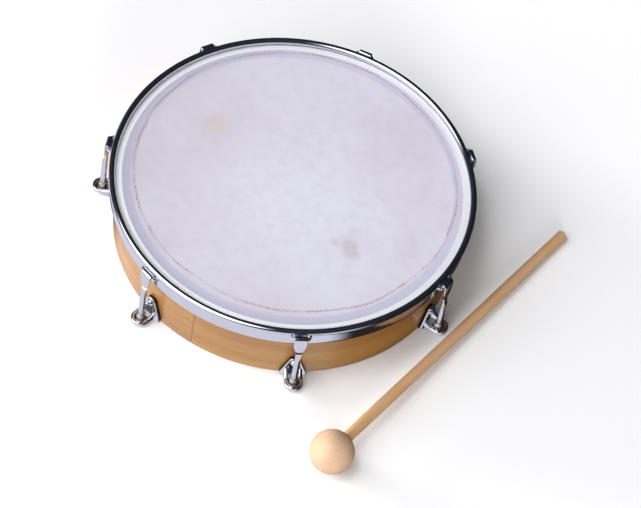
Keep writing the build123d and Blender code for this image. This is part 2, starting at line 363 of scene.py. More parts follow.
class Nodes:
    """A node tree, built one call at a time."""

    def __init__(self, tree):
        self.tree = tree

    def feed(self, node, inputs):
        for key, value in inputs.items():
            socket = node.inputs[key]
            if isinstance(value, bpy.types.NodeSocket):
                self.tree.links.new(value, socket)
            else:
                socket.default_value = value

    def node(self, kind, inputs, **settings):
        """A node with its settings and inputs; an input is a number, a tuple or another socket."""
        made = self.tree.nodes.new("ShaderNode" + kind)
        for key, value in settings.items():
            setattr(made, key, value)
        self.feed(made, inputs)
        return made

    def add(self, kind, inputs=None, output=0, **settings):
        """The output socket of a new node."""
        return self.node(kind, inputs or {}, **settings).outputs[output]

    def maths(self, operation, a, b=0.0):
        return self.add("Math", {0: a, 1: b}, operation=operation)

    def length(self, a, b):
        squares = [self.maths("MULTIPLY", v, v) for v in (a, b)]
        return self.maths("SQRT", self.maths("ADD", *squares))

    def ramp(self, value, low, high, start=0.0, end=1.0):
        """Value carried from low..high to start..end with soft ends."""
        return self.add(
            "MapRange",
            {"Value": value, "From Min": low, "From Max": high, "To Min": start, "To Max": end},
            interpolation_type="SMOOTHSTEP",
        )

    def mix(self, factor, a, b):
        return self.add("Mix", {0: factor, 6: a, 7: b}, output=2, data_type="RGBA")

    def cosine(self, unit, direction):
        """The cosine between a unit vector and a fixed direction."""
        inputs = {0: unit, 1: tuple(direction)}
        return self.add("VectorMath", inputs, output=1, operation="DOT_PRODUCT")


class Shader(Nodes):
    """A material's node tree."""

    def __init__(self, name):
        self.material = bpy.data.materials.new(name)
        self.material.use_nodes = True
        super().__init__(self.material.node_tree)
        self.surface = self.tree.nodes["Principled BSDF"]

    def finish(self, **inputs):
        self.feed(self.surface, {key.replace("_", " "): value for key, value in inputs.items()})
        return self.material

    def position(self):
        """Object coordinates."""
        return self.add("TexCoord", output=3)

    def split(self, vector):
        return tuple(self.node("SeparateXYZ", {0: vector}).outputs)

    def scaled(self, vector, scale):
        return self.add("Mapping", {"Vector": vector, "Scale": scale})

    def noise(self, vector, scale, detail=4.0, roughness=0.5, distortion=0.0):
        return self.add(
            "TexNoise",
            {"Vector": vector, "Scale": scale, "Detail": detail, "Roughness": roughness,
             "Distortion": distortion},
        )

    def wander(self, vector, scale, detail, reach):
        """Noise about zero, reach wide."""
        noise = self.noise(vector, scale, detail)
        return self.maths("MULTIPLY", self.maths("SUBTRACT", noise, 0.5), reach)

    def relief(self, first, second, share):
        """Two heights added, the first with the given share."""
        second = self.maths("MULTIPLY", second, 1 - share)
        return self.maths("ADD", self.maths("MULTIPLY", first, share), second)

    def bump(self, height, strength, distance):
        return self.add("Bump", {"Height": height, "Strength": strength, "Distance": distance})


def rgb(colour):
    """An 8-bit sRGB colour as linear RGBA."""
    return tuple(((c / 255 + 0.055) / 1.055) ** 2.4 if c > 10 else c / 3294.6 for c in colour) + (1.0,)


def drum_coordinates(shader):
    """Arc length round the drum from the shell's joint, height, and radius, in metres."""
    x, y, z = shader.split(shader.position())
    c, s = math.cos(math.pi - SEAM_ANGLE), math.sin(math.pi - SEAM_ANGLE)
    turned_x = shader.maths("SUBTRACT", shader.maths("MULTIPLY", x, c), shader.maths("MULTIPLY", y, s))
    turned_y = shader.maths("ADD", shader.maths("MULTIPLY", x, s), shader.maths("MULTIPLY", y, c))
    angle = shader.maths("ARCTAN2", turned_y, turned_x)
    arc = shader.maths("MULTIPLY", angle, SHELL_RADIUS * MM)
    return arc, z, shader.length(x, y)


# ---------------------------------------------------------------- materials

def shell_wood():
    """Lacquered wood with its grain round the drum, a dark joint, and darker towards the bottom."""
    s = Shader("shell_wood")
    arc, height, radius = drum_coordinates(s)
    along = s.add("CombineXYZ", {"X": arc, "Y": height, "Z": radius})
    figure = s.noise(s.scaled(along, (3.0, 42.0, 30.0)), 1.0, 5.0, 0.55, 0.6)
    grain = s.noise(s.scaled(along, (26.0, 900.0, 300.0)), 1.0, 6.0, 0.65, 0.2)
    flecks = s.noise(s.scaled(along, (160.0, 2400.0, 900.0)), 1.0, 2.0, 0.5)
    base = s.mix(s.ramp(figure, 0.32, 0.68), rgb(WOOD_LIGHT), rgb(WOOD_DARK))
    base = s.mix(s.ramp(grain, 0.35, 0.75, 0.0, 0.5), base, rgb(WOOD_GRAIN))
    base = s.mix(s.ramp(flecks, 0.62, 0.74, 0.0, 0.35), base, rgb(WOOD_FLECK))
    # the joint is where the arc length turns over, half the shell's way round
    seam = s.ramp(s.maths("ABSOLUTE", arc), *SEAM_ARC)
    base = s.mix(s.maths("MULTIPLY", seam, 0.55), base, rgb(WOOD_SEAM))
    # darker towards the bottom edge, over its lowest few millimetres
    foot = s.ramp(height, 0.0, FOOT_BAND_HEIGHT, 1.0, 0.0)
    base = s.mix(s.maths("MULTIPLY", foot, 0.5), base, rgb(WOOD_BOTTOM_BAND))
    return s.finish(
        Base_Color=base,
        Roughness=s.ramp(grain, 0.3, 0.8, 0.36, 0.5),
        Normal=s.bump(s.relief(grain, flecks, 0.7), 0.25, 0.0002),
        Coat_Weight=0.65,
        Coat_Roughness=0.16,
    )


def skin():
    """Clouded skin with painted highlights: a soft glare painted near the middle and a near-white slope, with
    a collar, a marked line and stains.
    """
    s = Shader("drumhead_skin")
    where = s.position()
    x, y, z = s.split(where)
    radius = s.length(x, y)
    clouds = s.noise(where, 14.0, 5.0, 0.55, 0.3)
    mottle = s.noise(where, 120.0, 6.0, 0.6)
    fibres = s.noise(s.scaled(where, (900.0, 420.0, 500.0)), 1.0, 4.0, 0.6, 0.8)
    base = s.mix(s.ramp(clouds, 0.35, 0.65), rgb(SKIN_WARM), rgb(SKIN_COOL))
    # painted highlight: the skin is painted paler round a spot just off the middle, standing in for a soft
    # glare on it
    middle = s.length(s.maths("SUBTRACT", x, GLARE_X), s.maths("ADD", y, GLARE_Y))
    base = s.mix(s.ramp(middle, 0.0, GLARE_REACH, 0.75, 0.0), base, rgb(SKIN_GLARE))
    base = s.mix(s.ramp(mottle, 0.4, 0.7, 0.0, 0.25), base, rgb(SKIN_MOTTLE))
    base = s.mix(s.ramp(radius, *COLLAR_START, 0.0, 0.75), base, rgb(SKIN_COLLAR))
    # painted highlight: the slope outside the bearing edge is painted near white, standing in for glare that
    # the bead would shade off it
    base = s.mix(s.ramp(radius, *SLOPE_HIGHLIGHT_START), base, rgb(SKIN_SLOPE_HIGHLIGHT))
    # the wavering reddish line where the skin was marked out, a little off centre
    ring = s.length(s.maths("SUBTRACT", x, LINE_X), s.maths("SUBTRACT", y, LINE_Y))
    ring = s.maths("ADD", ring, s.wander(where, 22.0, 3.0, 0.006))
    ring = s.maths("ABSOLUTE", s.maths("SUBTRACT", ring, LINE_RADIUS))
    band = s.ramp(ring, 0.0003, 0.0014, 1.0, 0.0)
    broken = s.ramp(s.noise(where, 60.0, 3.0), 0.35, 0.6, 0.35, 1.0)
    marks = s.ramp(s.noise(where, 900.0, 2.0), 0.44, 0.60, 0.2, 1.0)
    ink = s.maths("MULTIPLY", s.maths("MULTIPLY", band, broken), marks)
    base = s.mix(ink, base, rgb(SKIN_LINE))
    for spot_x, spot_y, size, strength, colour in SKIN_MARKS:
        away = s.length(s.maths("SUBTRACT", x, spot_x), s.maths("SUBTRACT", y, spot_y))
        away = s.maths("ADD", away, s.wander(where, 70.0, 4.0, 0.03))
        base = s.mix(s.ramp(away, 0.002, size, strength, 0.0), base, rgb(colour))
    return s.finish(
        Base_Color=base,
        Roughness=s.ramp(clouds, 0.3, 0.7, 0.42, 0.52),
        Normal=s.bump(s.relief(mottle, fibres, 0.6), 0.25, 0.00025),
        Sheen_Weight=0.15,
        Sheen_Roughness=0.5,
    )


def chrome(name, tint, dull, recess=False):
    """Plated metal with fine scratches; a bracket's sunken plate gets painted shade, dark as if in shadow."""
    s = Shader(name)
    where = s.position()
    smear = s.noise(where, 60.0, 4.0, 0.6)
    scratches = s.noise(s.scaled(where, (900.0, 900.0, 5000.0)), 1.0, 3.0, 0.6)
    base = s.mix(s.ramp(smear, 0.55, 0.8, 0.0, 0.5), rgb(tint), rgb(CHROME_SMEAR))
    if recess:
        # painted shade: the sunken plate inside the rim is painted near black, standing in for the shade and
        # dark reflections in the recess
        radius = drum_coordinates(s)[2]
        painted_recess_shade = s.ramp(radius, (PLATE_OUTER + 0.1) * MM, (RIM_OUTER - 0.5) * MM, 1.0, 0.0)
        base = s.mix(painted_recess_shade, base, rgb(CHROME_RECESS_SHADE))
    return s.finish(
        Base_Color=base,
        Metallic=1.0,
        Roughness=s.ramp(smear, 0.35, 0.8, dull, dull + 0.10),
        Normal=s.bump(scratches, 0.04, 0.00005),
    )


def nickel():
    """Satin metal with turning marks."""
    s = Shader("nut_nickel")
    where = s.position()
    lathe = s.noise(s.scaled(where, (200.0, 200.0, 9000.0)), 1.0, 3.0, 0.6)
    patina = s.noise(where, 220.0, 4.0)
    return s.finish(
        Base_Color=s.mix(s.ramp(patina, 0.4, 0.7), rgb(NICKEL_LIGHT), rgb(NICKEL_DARK)),
        Metallic=1.0,
        Roughness=s.ramp(lathe, 0.3, 0.7, 0.26, 0.40),
        Normal=s.bump(lathe, 0.15, 0.0001),
    )


def zinc():
    """Zinc plating with its fine crystals."""
    s = Shader("inner_steel")
    where = s.position()
    cells = s.add("TexVoronoi", {"Vector": where, "Scale": 1400.0})
    cloud = s.noise(where, 300.0, 3.0)
    return s.finish(
        Base_Color=s.mix(s.ramp(cells, 0.1, 0.8), rgb(ZINC_DARK), rgb(ZINC_LIGHT)),
        Metallic=1.0,
        Roughness=s.ramp(cloud, 0.3, 0.7, 0.30, 0.45),
        Normal=s.bump(cloud, 0.1, 0.0001),
    )


def hidden_wood():
    """Unfinished wood of the ring inside the tuck."""
    s = Shader("flesh_hoop_wood")
    grain = s.noise(s.scaled(s.position(), (60.0, 60.0, 1400.0)), 1.0, 5.0, 0.6)
    return s.finish(
        Base_Color=s.mix(s.ramp(grain, 0.3, 0.7), rgb(RING_LIGHT), rgb(RING_DARK)),
        Roughness=s.ramp(grain, 0.3, 0.7, 0.5, 0.65),
        Normal=s.bump(grain, 0.3, 0.0002),
    )


def beater_wood(name, light, dark, rings, contrast):
    """Pale sanded wood, its grain along the piece's own X axis."""
    s = Shader(name)
    where = s.position()
    warp = s.noise(s.scaled(where, (20.0, 60.0, 60.0)), 1.0, 3.0)
    x, y, z = s.split(where)
    radius = s.length(s.maths("ADD", y, HEART_Y), s.maths("ADD", z, HEART_Z))
    radius = s.maths("ADD", radius, s.maths("MULTIPLY", warp, 0.0035))
    growth = s.maths("SINE", s.maths("MULTIPLY", radius, rings))
    grain = s.noise(s.scaled(where, (35.0, 1400.0, 1400.0)), 1.0, 5.0, 0.65, 0.3)
    flecks = s.noise(s.scaled(where, (240.0, 3200.0, 1600.0)), 1.0, 2.0)
    patches = s.noise(s.scaled(where, (45.0, 90.0, 90.0)), 1.0, 2.0)
    base = s.mix(s.ramp(growth, -1.0, 1.0, 0.0, contrast), rgb(light), rgb(dark))
    base = s.mix(s.ramp(patches, 0.45, 0.7, 0.0, 0.5), base, rgb(BEATER_PATCH))
    base = s.mix(s.ramp(grain, 0.42, 0.72, 0.0, 0.4), base, rgb(dark))
    base = s.mix(s.ramp(flecks, 0.62, 0.72, 0.0, 0.4), base, rgb(BEATER_FLECK))
    return s.finish(
        Base_Color=base,
        Roughness=s.ramp(grain, 0.3, 0.7, 0.46, 0.6),
        Normal=s.bump(s.relief(grain, flecks, 0.6), 0.2, 0.00015),
        Coat_Weight=0.4,
        Coat_Roughness=0.3,
    )


# ---------------------------------------------------------------- drum pieces

def make_shell(material):
    """Bent-wood ring with a rounded bearing edge and the fine open line of its joint."""
    inner = SHELL_RADIUS - SHELL_WALL
    profile = rounded(
        [(inner, 0), (SHELL_RADIUS, 0), (SHELL_RADIUS, SHELL_TOP), (inner, SHELL_TOP)],
        [SHELL_FOOT_ROUND, SHELL_FOOT_ROUND, BEARING_ROUND, SHELL_INNER_ROUND],
    )
    profile = densify(profile, 4.0)
    beside = np.array(SEAM_STATIONS) / SHELL_RADIUS
    # the even steps start a little off zero so that none falls on a joint station
    angles = np.sort(np.concatenate([even_angles(360) + 0.0031, SEAM_ANGLE + beside]))
    rows = lathe_rows(profile, angles)
    middle = SHELL_RADIUS - SHELL_WALL / 2
    depth = SEAM_DEPTH * np.exp(-(((angles - SEAM_ANGLE) * SHELL_RADIUS / SEAM_SPREAD) ** 2))
    swell = 0.06 * np.sin(2 * angles + 0.7) + 0.04 * np.sin(5 * angles)
    for row, cut, extra in zip(rows, depth, swell):
        radius = np.hypot(row[:, 0], row[:, 1])
        outside = (radius - middle) / (SHELL_WALL / 2)
        clear = np.clip((SHELL_TOP - 1 - row[:, 2]) / 6, 0, 1) * np.clip(row[:, 2] / 6, 0, 1)
        scale = (radius - outside * cut + extra * 0.5 * clear * (outside > 0)) / radius
        row[:, 0] *= scale
        row[:, 1] *= scale
    piece = build("shell_body", [grid(rows, wrap_rows=True)], material)
    place(piece, "drum", ["shell"])


def skin_line():
    """The skin's middle line from the centre out over the bearing edge and round the flesh hoop."""
    edge_x, edge_z = SHELL_RADIUS - BEARING_ROUND, SHELL_TOP - BEARING_ROUND
    away = SKIN_GAP + SKIN / 2
    bend = BEARING_ROUND + away
    land_x, land_z = FLESH_RADIUS - 1.4, FLESH_HIGH + away
    reach = math.hypot(land_x - edge_x, land_z - edge_z)
    leave = math.atan2(land_z - edge_z, land_x - edge_x) + math.acos(bend / reach)
    arc = [
        (edge_x + bend * math.cos(a), edge_z + bend * math.sin(a))
        for a in np.linspace(math.pi / 2, leave, 9)
    ]
    outer, low = FLESH_RADIUS + away, FLESH_LOW - away
    inner = SKIN_TUCK_INNER + SKIN / 2
    wrap = rounded(
        [arc[-1], (land_x, land_z), (outer, land_z), (outer, low), (inner, low),
         (inner, low + SKIN_TUCK_HEIGHT)],
        [0, 2.2, 0.85, 0.8, 0.8, 0],
        closed=False,
    )
    radii = np.concatenate([np.linspace(0, 112, 57), np.linspace(113, edge_x - 0.4, 24)])
    flat = [(r, arc[0][1]) for r in radii]
    return np.array(flat + arc + [tuple(p) for p in wrap[1:]])


def make_drumhead(material):
    """Skin of even thickness, faintly uneven under tension and gathered where it is tucked."""
    line = skin_line()
    outline = np.concatenate([offset_path(line, SKIN / 2), offset_path(line, -SKIN / 2)[::-1]])
    outline[0][0] = outline[-1][0] = 0.0
    angles = even_angles(360)
    rows = lathe_rows(outline, angles)
    phases = rng.uniform(0, TAU, 8)
    pleats = sum(np.sin(k * angles + p) for k, p in zip(GATHER_WAVES, phases)) / len(GATHER_WAVES)
    sway = np.sin(2 * angles + phases[4]) + 0.6 * np.sin(3 * angles + phases[5])
    for row, pleat, lean in zip(rows, pleats, sway):
        radius = np.hypot(row[:, 0], row[:, 1])
        fall = np.clip((radius - GATHER_START) / 2, 0, 1)
        row[:, 2] += SKIN_GATHER * pleat * fall * (row[:, 2] > FLESH_HIGH)
        inside = np.clip(radius / 118, 0, 1)
        dip = (1 + lean * 0.5) * inside**2 * (1 - inside**4)
        row[:, 2] -= SKIN_SAG * dip * (row[:, 2] > FLESH_HIGH)
    piece = build("drumhead_membrane", [grid(rows, wrap_rows=True)], material, sharp=60)
    place(piece, "drum", ["drumhead"])


def make_flesh_hoop(material):
    """The hidden ring inside the skin's tuck, with rounded corners."""
    corners = [
        (FLESH_INNER, FLESH_LOW), (FLESH_RADIUS, FLESH_LOW), (FLESH_RADIUS, FLESH_HIGH),
        (FLESH_INNER, FLESH_HIGH),
    ]
    profile = densify(rounded(corners, FLESH_ROUND), 1.5)
    piece = build("flesh_hoop_ring", [grid(lathe_rows(profile, even_angles(240)), True)], material)
    place(piece, "drum", ["flesh_hoop"])


def ear_chunk():
    """The loop pressed out of the hoop at one lug, modelled on +X."""
    plan = rounded(
        [(EAR_ROOT, -EAR_ROOT_HALF), (EAR_REACH, -EAR_TIP_HALF), (EAR_REACH, EAR_TIP_HALF),
         (EAR_ROOT, EAR_ROOT_HALF)],
        EAR_BEND, 8, closed=False,
    )
    plan = densify(plan, 1.0, closed=False)
    up = np.tile([0, 0, 1.0], (len(plan), 1))
    middle = HOOP_HIGH - EAR_DROP + EAR_HEIGHT / 2
    path = np.column_stack([plan, np.full(len(plan), middle)])
    section = strip_section(EAR_STRIP, EAR_HEIGHT, 0.5)
    return grid(capped(swept(path, sideways(plan), up, [section] * len(path))))


def make_counterhoop(material):
    """Sheet rolled into a bead above a flat skirt, with the seven pressed-out loops."""
    roll = BEAD_RADIUS - HOOP_SHEET / 2
    centre_z = HOOP_HIGH - BEAD_RADIUS
    curl = [
        (BEAD_CIRCLE + roll * math.cos(a), centre_z + roll * math.sin(a))
        for a in np.radians(np.arange(*BEAD_CURL))
    ]
    skirt = rounded(
        [(SKIRT_MIDDLE, HOOP_LOW + 0.35), (SKIRT_MIDDLE, centre_z - 2.4), curl[0]],
        [0, 1.6, 0], closed=False,
    )
    line = np.array([tuple(p) for p in densify(skirt, 1.5, closed=False)] + curl[1:])
    edge = HOOP_SHEET / 2
    start = [(SKIRT_MIDDLE + edge * 0.7 * k, HOOP_LOW + 0.06) for k in (1, 0, -1)]
    outline = np.concatenate([offset_path(line, edge)[::-1], offset_path(line, -edge)])
    outline = np.concatenate([outline[: len(line)], start[::-1], outline[len(line):]])
    chunks = [grid(lathe_rows(outline, even_angles(432)), wrap_rows=True)]
    for angle in LUG_ANGLES:
        points, faces = ear_chunk()
        chunks.append((turned(points, angle), faces))
    piece = build("counterhoop_rim", chunks, material, sharp=50)
    place(piece, "hoop", ["counterhoop"])


# ---------------------------------------------------------------- lug pieces, modelled on +X

def claw_chunk():
    """The strip folded over the loop and its tongue, which narrows to a rounded end."""
    leg = [(FOLD_RADIUS - FOLD_BEND, z) for z in np.linspace(FOLD_HEIGHT - CLAW_LEG, FOLD_HEIGHT, 5)]
    fold = [
        (FOLD_RADIUS + FOLD_BEND * math.cos(a), FOLD_HEIGHT + FOLD_BEND * math.sin(a))
        for a in np.linspace(math.pi, 0, 15)
    ]
    length = FOLD_HEIGHT - TONGUE_END
    # the stations crowd towards the tip, where the outline curves
    tongue = [(FOLD_RADIUS + FOLD_BEND, FOLD_HEIGHT - length * (1 - t**1.7)) for t in np.linspace(1, 0, 34)]
    line = np.array(leg + fold[1:] + tongue[1:])
    tangent = tangents(line)
    sections = []
    for i, (x, z) in enumerate(line):
        width = TONGUE_WIDTH
        if i >= len(leg) + len(fold) - 2:
            width = np.interp((FOLD_HEIGHT - z) / length, TONGUE_SHARES, TONGUE_WIDTHS)
        elif i < 3:
            width -= (3 - i) ** 2 / 6
        thick = STRIP if i < len(line) - 1 else STRIP * 0.6
        sections.append(strip_section(width, thick, STRIP_ROUND))
    path = np.column_stack([line[:, 0], np.zeros(len(line)), line[:, 1]])
    side = np.tile([0, 1.0, 0], (len(line), 1))
    up = np.column_stack([-tangent[:, 1], np.zeros(len(line)), tangent[:, 0]])
    return grid(capped(swept(path, side, up, sections)))


def rod_chunk():
    """The rod behind the tongue: flattened and notched at its top, threaded at its foot."""
    heights = np.concatenate([
        [HOOK_LOW],
        np.arange(HOOK_LOW + 0.12, THREAD_TOP + 0.4, ROD_PITCH / 6),
        np.linspace(THREAD_TOP + 0.7, FLAT_END - 0.3, 12),
        np.linspace(FLAT_END, TONGUE_END + 0.4, 44),
        [TONGUE_END + 4.8],
    ])
    flat_heights = [FLAT_END, FLAT_END + FLAT_SLOPE, NOTCH_END, TONGUE_END]
    flat_faces = [ROD_RADIUS, FLAT_FACE, FLAT_FACE, NOTCH_FACE]
    around = even_angles(48)
    rows = []
    for z in heights:
        ease = np.clip((THREAD_TOP - z) / 1.5, 0, 1)
        phase = (z / ROD_PITCH - around / TAU) % 1.0
        radius = ROD_RADIUS - THREAD_DEPTH * ease * np.abs(2 * phase - 1)
        if z == HOOK_LOW:
            radius = radius - 0.5
        x = radius * np.cos(around)
        if z > FLAT_END:
            face = np.interp(z, flat_heights, flat_faces) if z < TONGUE_END else ROD_UNDER_TONGUE
            x = np.minimum(x, face)
        rows.append(np.column_stack([ROD_CIRCLE + x, radius * np.sin(around), np.full(len(around), z)]))
    return grid(capped(rows))


def make_hooks(material):
    for number, angle in zip(LUGS, LUG_ANGLES):
        chunks = [(turned(points, angle), faces) for points, faces in (claw_chunk(), rod_chunk())]
        piece = build(f"tension_hook_{number}_claw", chunks, material, sharp=45)
        place(piece, "hoop", [f"tension_hook_{number}"])


# The directions in which a plate's outlines are measured from its middle
PLATE_RAYS = even_angles(200) + 0.01


def ray_lengths(outline):
    """Distance from the plate's middle to an outline in each of the plate's ray directions."""
    offset = densify(outline, 0.1) - PLATE_MIDDLE
    angle = np.arctan2(offset[:, 1], offset[:, 0])
    order = np.argsort(angle)
    return np.interp(PLATE_RAYS, angle[order], np.hypot(*offset[order].T), period=TAU)


def on_cylinder(lengths, radius):
    """Points at the given distances along the plate's rays, laid on a cylinder about the drum's axis."""
    across = lengths * np.cos(PLATE_RAYS)
    height = PLATE_MIDDLE[1] + lengths * np.sin(PLATE_RAYS)
    return np.column_stack([np.sqrt(radius**2 - across**2), across, height])


def plate_chunk():
    """Plate curved to the shell, its wide raised rim round a recess, and a pocket for the bolt's head."""
    corners = [
        (-PLATE_HALF_BOTTOM, PLATE_BOTTOM), (PLATE_HALF_BOTTOM, PLATE_BOTTOM),
        (PLATE_HALF_TOP, PLATE_TOP), (-PLATE_HALF_TOP, PLATE_TOP),
    ]
    rounds = [PLATE_BOTTOM_ROUND] * 2 + [PLATE_TOP_ROUND] * 2
    outer = ray_lengths(rounded(corners, rounds, 8))
    # the recess runs out through the plate's bottom edge
    foot, peak = PLATE_HALF_BOTTOM - 2 * RIM_WIDTH, PLATE_HALF_TOP - RIM_WIDTH
    top = PLATE_TOP - RIM_WIDTH
    sides = ray_lengths(np.array([(-foot, -2.0), (foot, -2.0), (peak, top), (-peak, top)]))
    pocket = ray_lengths(
        np.array([
            (BOLT_POCKET * math.cos(a), BOLT_HEIGHT + BOLT_POCKET * math.sin(a)) for a in even_angles(60)
        ])
    )
    upwards = (np.sin(PLATE_RAYS) > 0.7) & (np.abs(PLATE_RAYS - math.pi / 2) < 0.8)
    recess = np.minimum(np.where(upwards, np.maximum(sides, pocket), sides), outer - 0.02)
    recess = np.convolve(np.concatenate([recess[-1:], recess, recess[:1]]), np.ones(3) / 3, "valid")
    width = outer - recess
    share = np.clip(width / RIM_SHOULDER, 0, 1)
    rise = (RIM_OUTER - PLATE_OUTER) * share * share * (3 - 2 * share)
    rows = [on_cylinder(outer * k, PLATE_INNER) for k in (0.0, 0.35, 0.7, 0.96)]
    rows.append(on_cylinder(outer, PLATE_INNER + 0.3))
    # the rim's outer and inner shoulders, as distances in from their edges and shares of its rise
    rows += [
        on_cylinder(outer - np.minimum(inset, 0.24 * width), PLATE_OUTER + rise * level)
        for inset, level in ((0.0, 0.55), (0.08, 0.82), (0.28, 0.96), (0.55, 1.0))
    ]
    rows += [
        on_cylinder(recess + inset * np.minimum(width, 1), PLATE_OUTER + rise * level)
        for inset, level in ((0.5, 1.0), (0.28, 0.97), (0.08, 0.85), (0.0, 0.6), (-0.15, 0.12), (-0.35, 0.0))
    ]
    rows += [on_cylinder((recess - 0.35) * k, PLATE_OUTER) for k in (0.75, 0.4, 0.0)]
    return grid(rows)


def eye_plan():
    """The eye's centre line in plan: one arm, the bend and the other arm."""
    arm = np.linspace(PLATE_OUTER - 0.8, EYE_CENTRE, 16)
    bend = np.linspace(-math.pi / 2, math.pi / 2, 33)[1:-1]
    return np.array(
        [(x, -EYE_HALF) for x in arm]
        + [(EYE_CENTRE + EYE_HALF * math.cos(a), EYE_HALF * math.sin(a)) for a in bend]
        + [(x, EYE_HALF) for x in arm[::-1]]
    )


def eye_chunk():
    """The cast eye: a rounded bar whose arms deepen and widen towards the plate."""
    plan = eye_plan()
    rows = []
    for (x, y), across in zip(plan, sideways(plan)):
        near = np.clip((WING_REACH - x) / (WING_REACH - PLATE_OUTER), 0, 1)
        top = EYE_HIGH + WING_RISE * near**1.2
        flare = 1.1 * math.exp(-max(x - PLATE_OUTER, 0) / 0.8)
        width = EYE_BAR - 0.5 * near + flare
        section = strip_section(width, top - EYE_LOW, EYE_ROUND, 6)
        middle = np.array([x, y, (EYE_LOW + top) / 2])
        rows.append(middle + section[:, :1] * across + section[:, 1:] * np.array([0, 0, 1.0]))
    return grid(capped(rows))


def make_brackets(material):
    for number, angle in zip(LUGS, LUG_ANGLES):
        chunks = [(turned(points, angle), faces) for points, faces in (plate_chunk(), eye_chunk())]
        piece = build(f"lug_bracket_{number}_plate", chunks, material, sharp=50)
        place(piece, "drum", [f"lug_bracket_{number}"])


def hexagon(angles, across):
    """Distance to a hexagon's outline in each direction, its corners slightly eased."""
    flat = across / 2
    wedge = (angles + math.pi / 6) % (math.pi / 3) - math.pi / 6
    return np.minimum(flat / np.cos(wedge), flat / math.cos(math.pi / 6) * 0.985)


def nut_chunk():
    """Hexagon foot with chamfered corners, sleeve with an eased top, and the bore."""
    around = even_angles(96)
    hexa = hexagon(around, NUT_ACROSS)
    face, bevel, corner = (np.minimum(hexa, limit) for limit in (4.4, 4.75, 5.1))
    stations = [
        (NUT_BORE, NUT_LOW + 0.3), (NUT_BORE + 0.3, NUT_LOW), (face, NUT_LOW), (bevel, NUT_LOW + 0.15),
        (corner, NUT_LOW + 0.4), (hexa, NUT_LOW + 0.7), (hexa, NUT_SHOULDER - 0.55),
        (corner, NUT_SHOULDER - 0.3), (bevel, NUT_SHOULDER - 0.1), (face, NUT_SHOULDER),
        (NUT_SLEEVE + 0.25, NUT_SHOULDER), (NUT_SLEEVE + 0.06, NUT_SHOULDER + 0.1),
        (NUT_SLEEVE, NUT_SHOULDER + 0.3), (NUT_SLEEVE, NUT_HIGH - 0.45), (NUT_SLEEVE - 0.12, NUT_HIGH - 0.18),
        (NUT_SLEEVE - 0.38, NUT_HIGH), (NUT_BORE + 0.35, NUT_HIGH), (NUT_BORE + 0.08, NUT_HIGH - 0.12),
        (NUT_BORE, NUT_HIGH - 0.4),
    ]
    rows = []
    for radius, z in stations:
        radius = np.broadcast_to(radius, around.shape)
        x, y = ROD_CIRCLE + radius * np.cos(around), radius * np.sin(around)
        rows.append(np.column_stack([x, y, np.full(len(around), z)]))
    return grid(rows, wrap_rows=True)


def make_nuts(material):
    for number, angle in zip(LUGS, LUG_ANGLES):
        points, faces = nut_chunk()
        piece = build(f"tension_nut_{number}_sleeve", [(turned(points, angle), faces)], material, sharp=35)
        place(piece, f"nut_{number}", [f"tension_nut_{number}"])


def along_x(profile, around):
    """A (distance, radius) profile turned about the bolt's axis, which runs along X."""
    rows = []
    for distance, radius in profile:
        radius = np.broadcast_to(radius, around.shape)
        y, z = radius * np.cos(around), BOLT_HEIGHT + radius * np.sin(around)
        rows.append(np.column_stack([np.full(len(around), distance), y, z]))
    return rows


def make_fasteners(chrome_material, steel_material):
    """The dome-headed bolts with the washers and hexagon nuts inside the shell."""
    around = even_angles(48)
    seat = PLATE_OUTER + 0.05
    shank = [
        (BOLT_END, BOLT_SHANK - 0.4), (BOLT_END + 0.3, BOLT_SHANK), (WASHER_OUTER - 0.05, BOLT_SHANK),
        (seat, BOLT_SHANK), (seat, BOLT_HEAD - 0.3), (seat + 0.25, BOLT_HEAD - 0.02),
    ]
    dome = [
        (seat + BOLT_NECK + BOLT_HEAD * math.sin(a), BOLT_HEAD * math.cos(a))
        for a in np.linspace(0, math.pi / 2 - 0.05, 14)
    ]
    bolt = capped(along_x(shank + dome, around))
    rim, ease = WASHER_RADIUS, 0.15
    washer = along_x(
        [(WASHER_INNER, WASHER_BORE), (WASHER_INNER, rim - ease), (WASHER_INNER + ease, rim),
         (WASHER_OUTER - ease, rim), (WASHER_OUTER, rim - ease), (WASHER_OUTER, WASHER_BORE)],
        around,
    )
    fine = even_angles(96)
    hexa = hexagon(fine, HEX_ACROSS)
    face, bevel = np.minimum(hexa, 3.3), np.minimum(hexa, 3.7)
    nut = along_x(
        [(HEX_END, HEX_BORE), (HEX_END, face), (HEX_END + 0.2, bevel), (HEX_END + 0.45, hexa),
         (WASHER_INNER - 0.45, hexa), (WASHER_INNER - 0.2, bevel), (WASHER_INNER, face),
         (WASHER_INNER, HEX_BORE)],
        fine,
    )
    for name, chunk, node, slot, material in (
        ("lug_bolt_heads", grid(bolt), "lug_bolts", "bolt_chrome", chrome_material),
        ("lug_washer_rings", grid(washer, wrap_rows=True), "lug_washers", "inner_steel", steel_material),
        ("lug_hex_nuts", grid(nut, wrap_rows=True), "lug_nuts", "inner_steel", steel_material),
    ):
        copies = [(turned(chunk[0], angle), chunk[1]) for angle in LUG_ANGLES]
        place(build(name, copies, material, sharp=35), "drum", [node])


# ---------------------------------------------------------------- beater

def beater_frame():
    """Where the beater lies: the ball's centre, and the matrix whose X axis runs along the stick."""
    ball = box_centre("beater_ball")
    low, high = box_mm("beater_stick")
    heading = math.atan2(high[1] - ball[1], high[0] - ball[0])
    tilt = math.asin((ball[2] - STICK_RADIUS) / STICK_LENGTH)
    direction = Vector(
        (math.cos(heading) * math.cos(tilt), math.sin(heading) * math.cos(tilt), -math.sin(tilt))
    )
    side = Vector((0, 0, 1)).cross(direction).normalized()
    up = direction.cross(side)
    matrix = Matrix((direction, side, up)).transposed().to_4x4()
    matrix.translation = Vector(ball) * MM
    return matrix


def ring_x(x, radius, around):
    """A ring of points about the stick's axis."""
    return np.column_stack([np.full(len(around), x), radius * np.cos(around), radius * np.sin(around)])


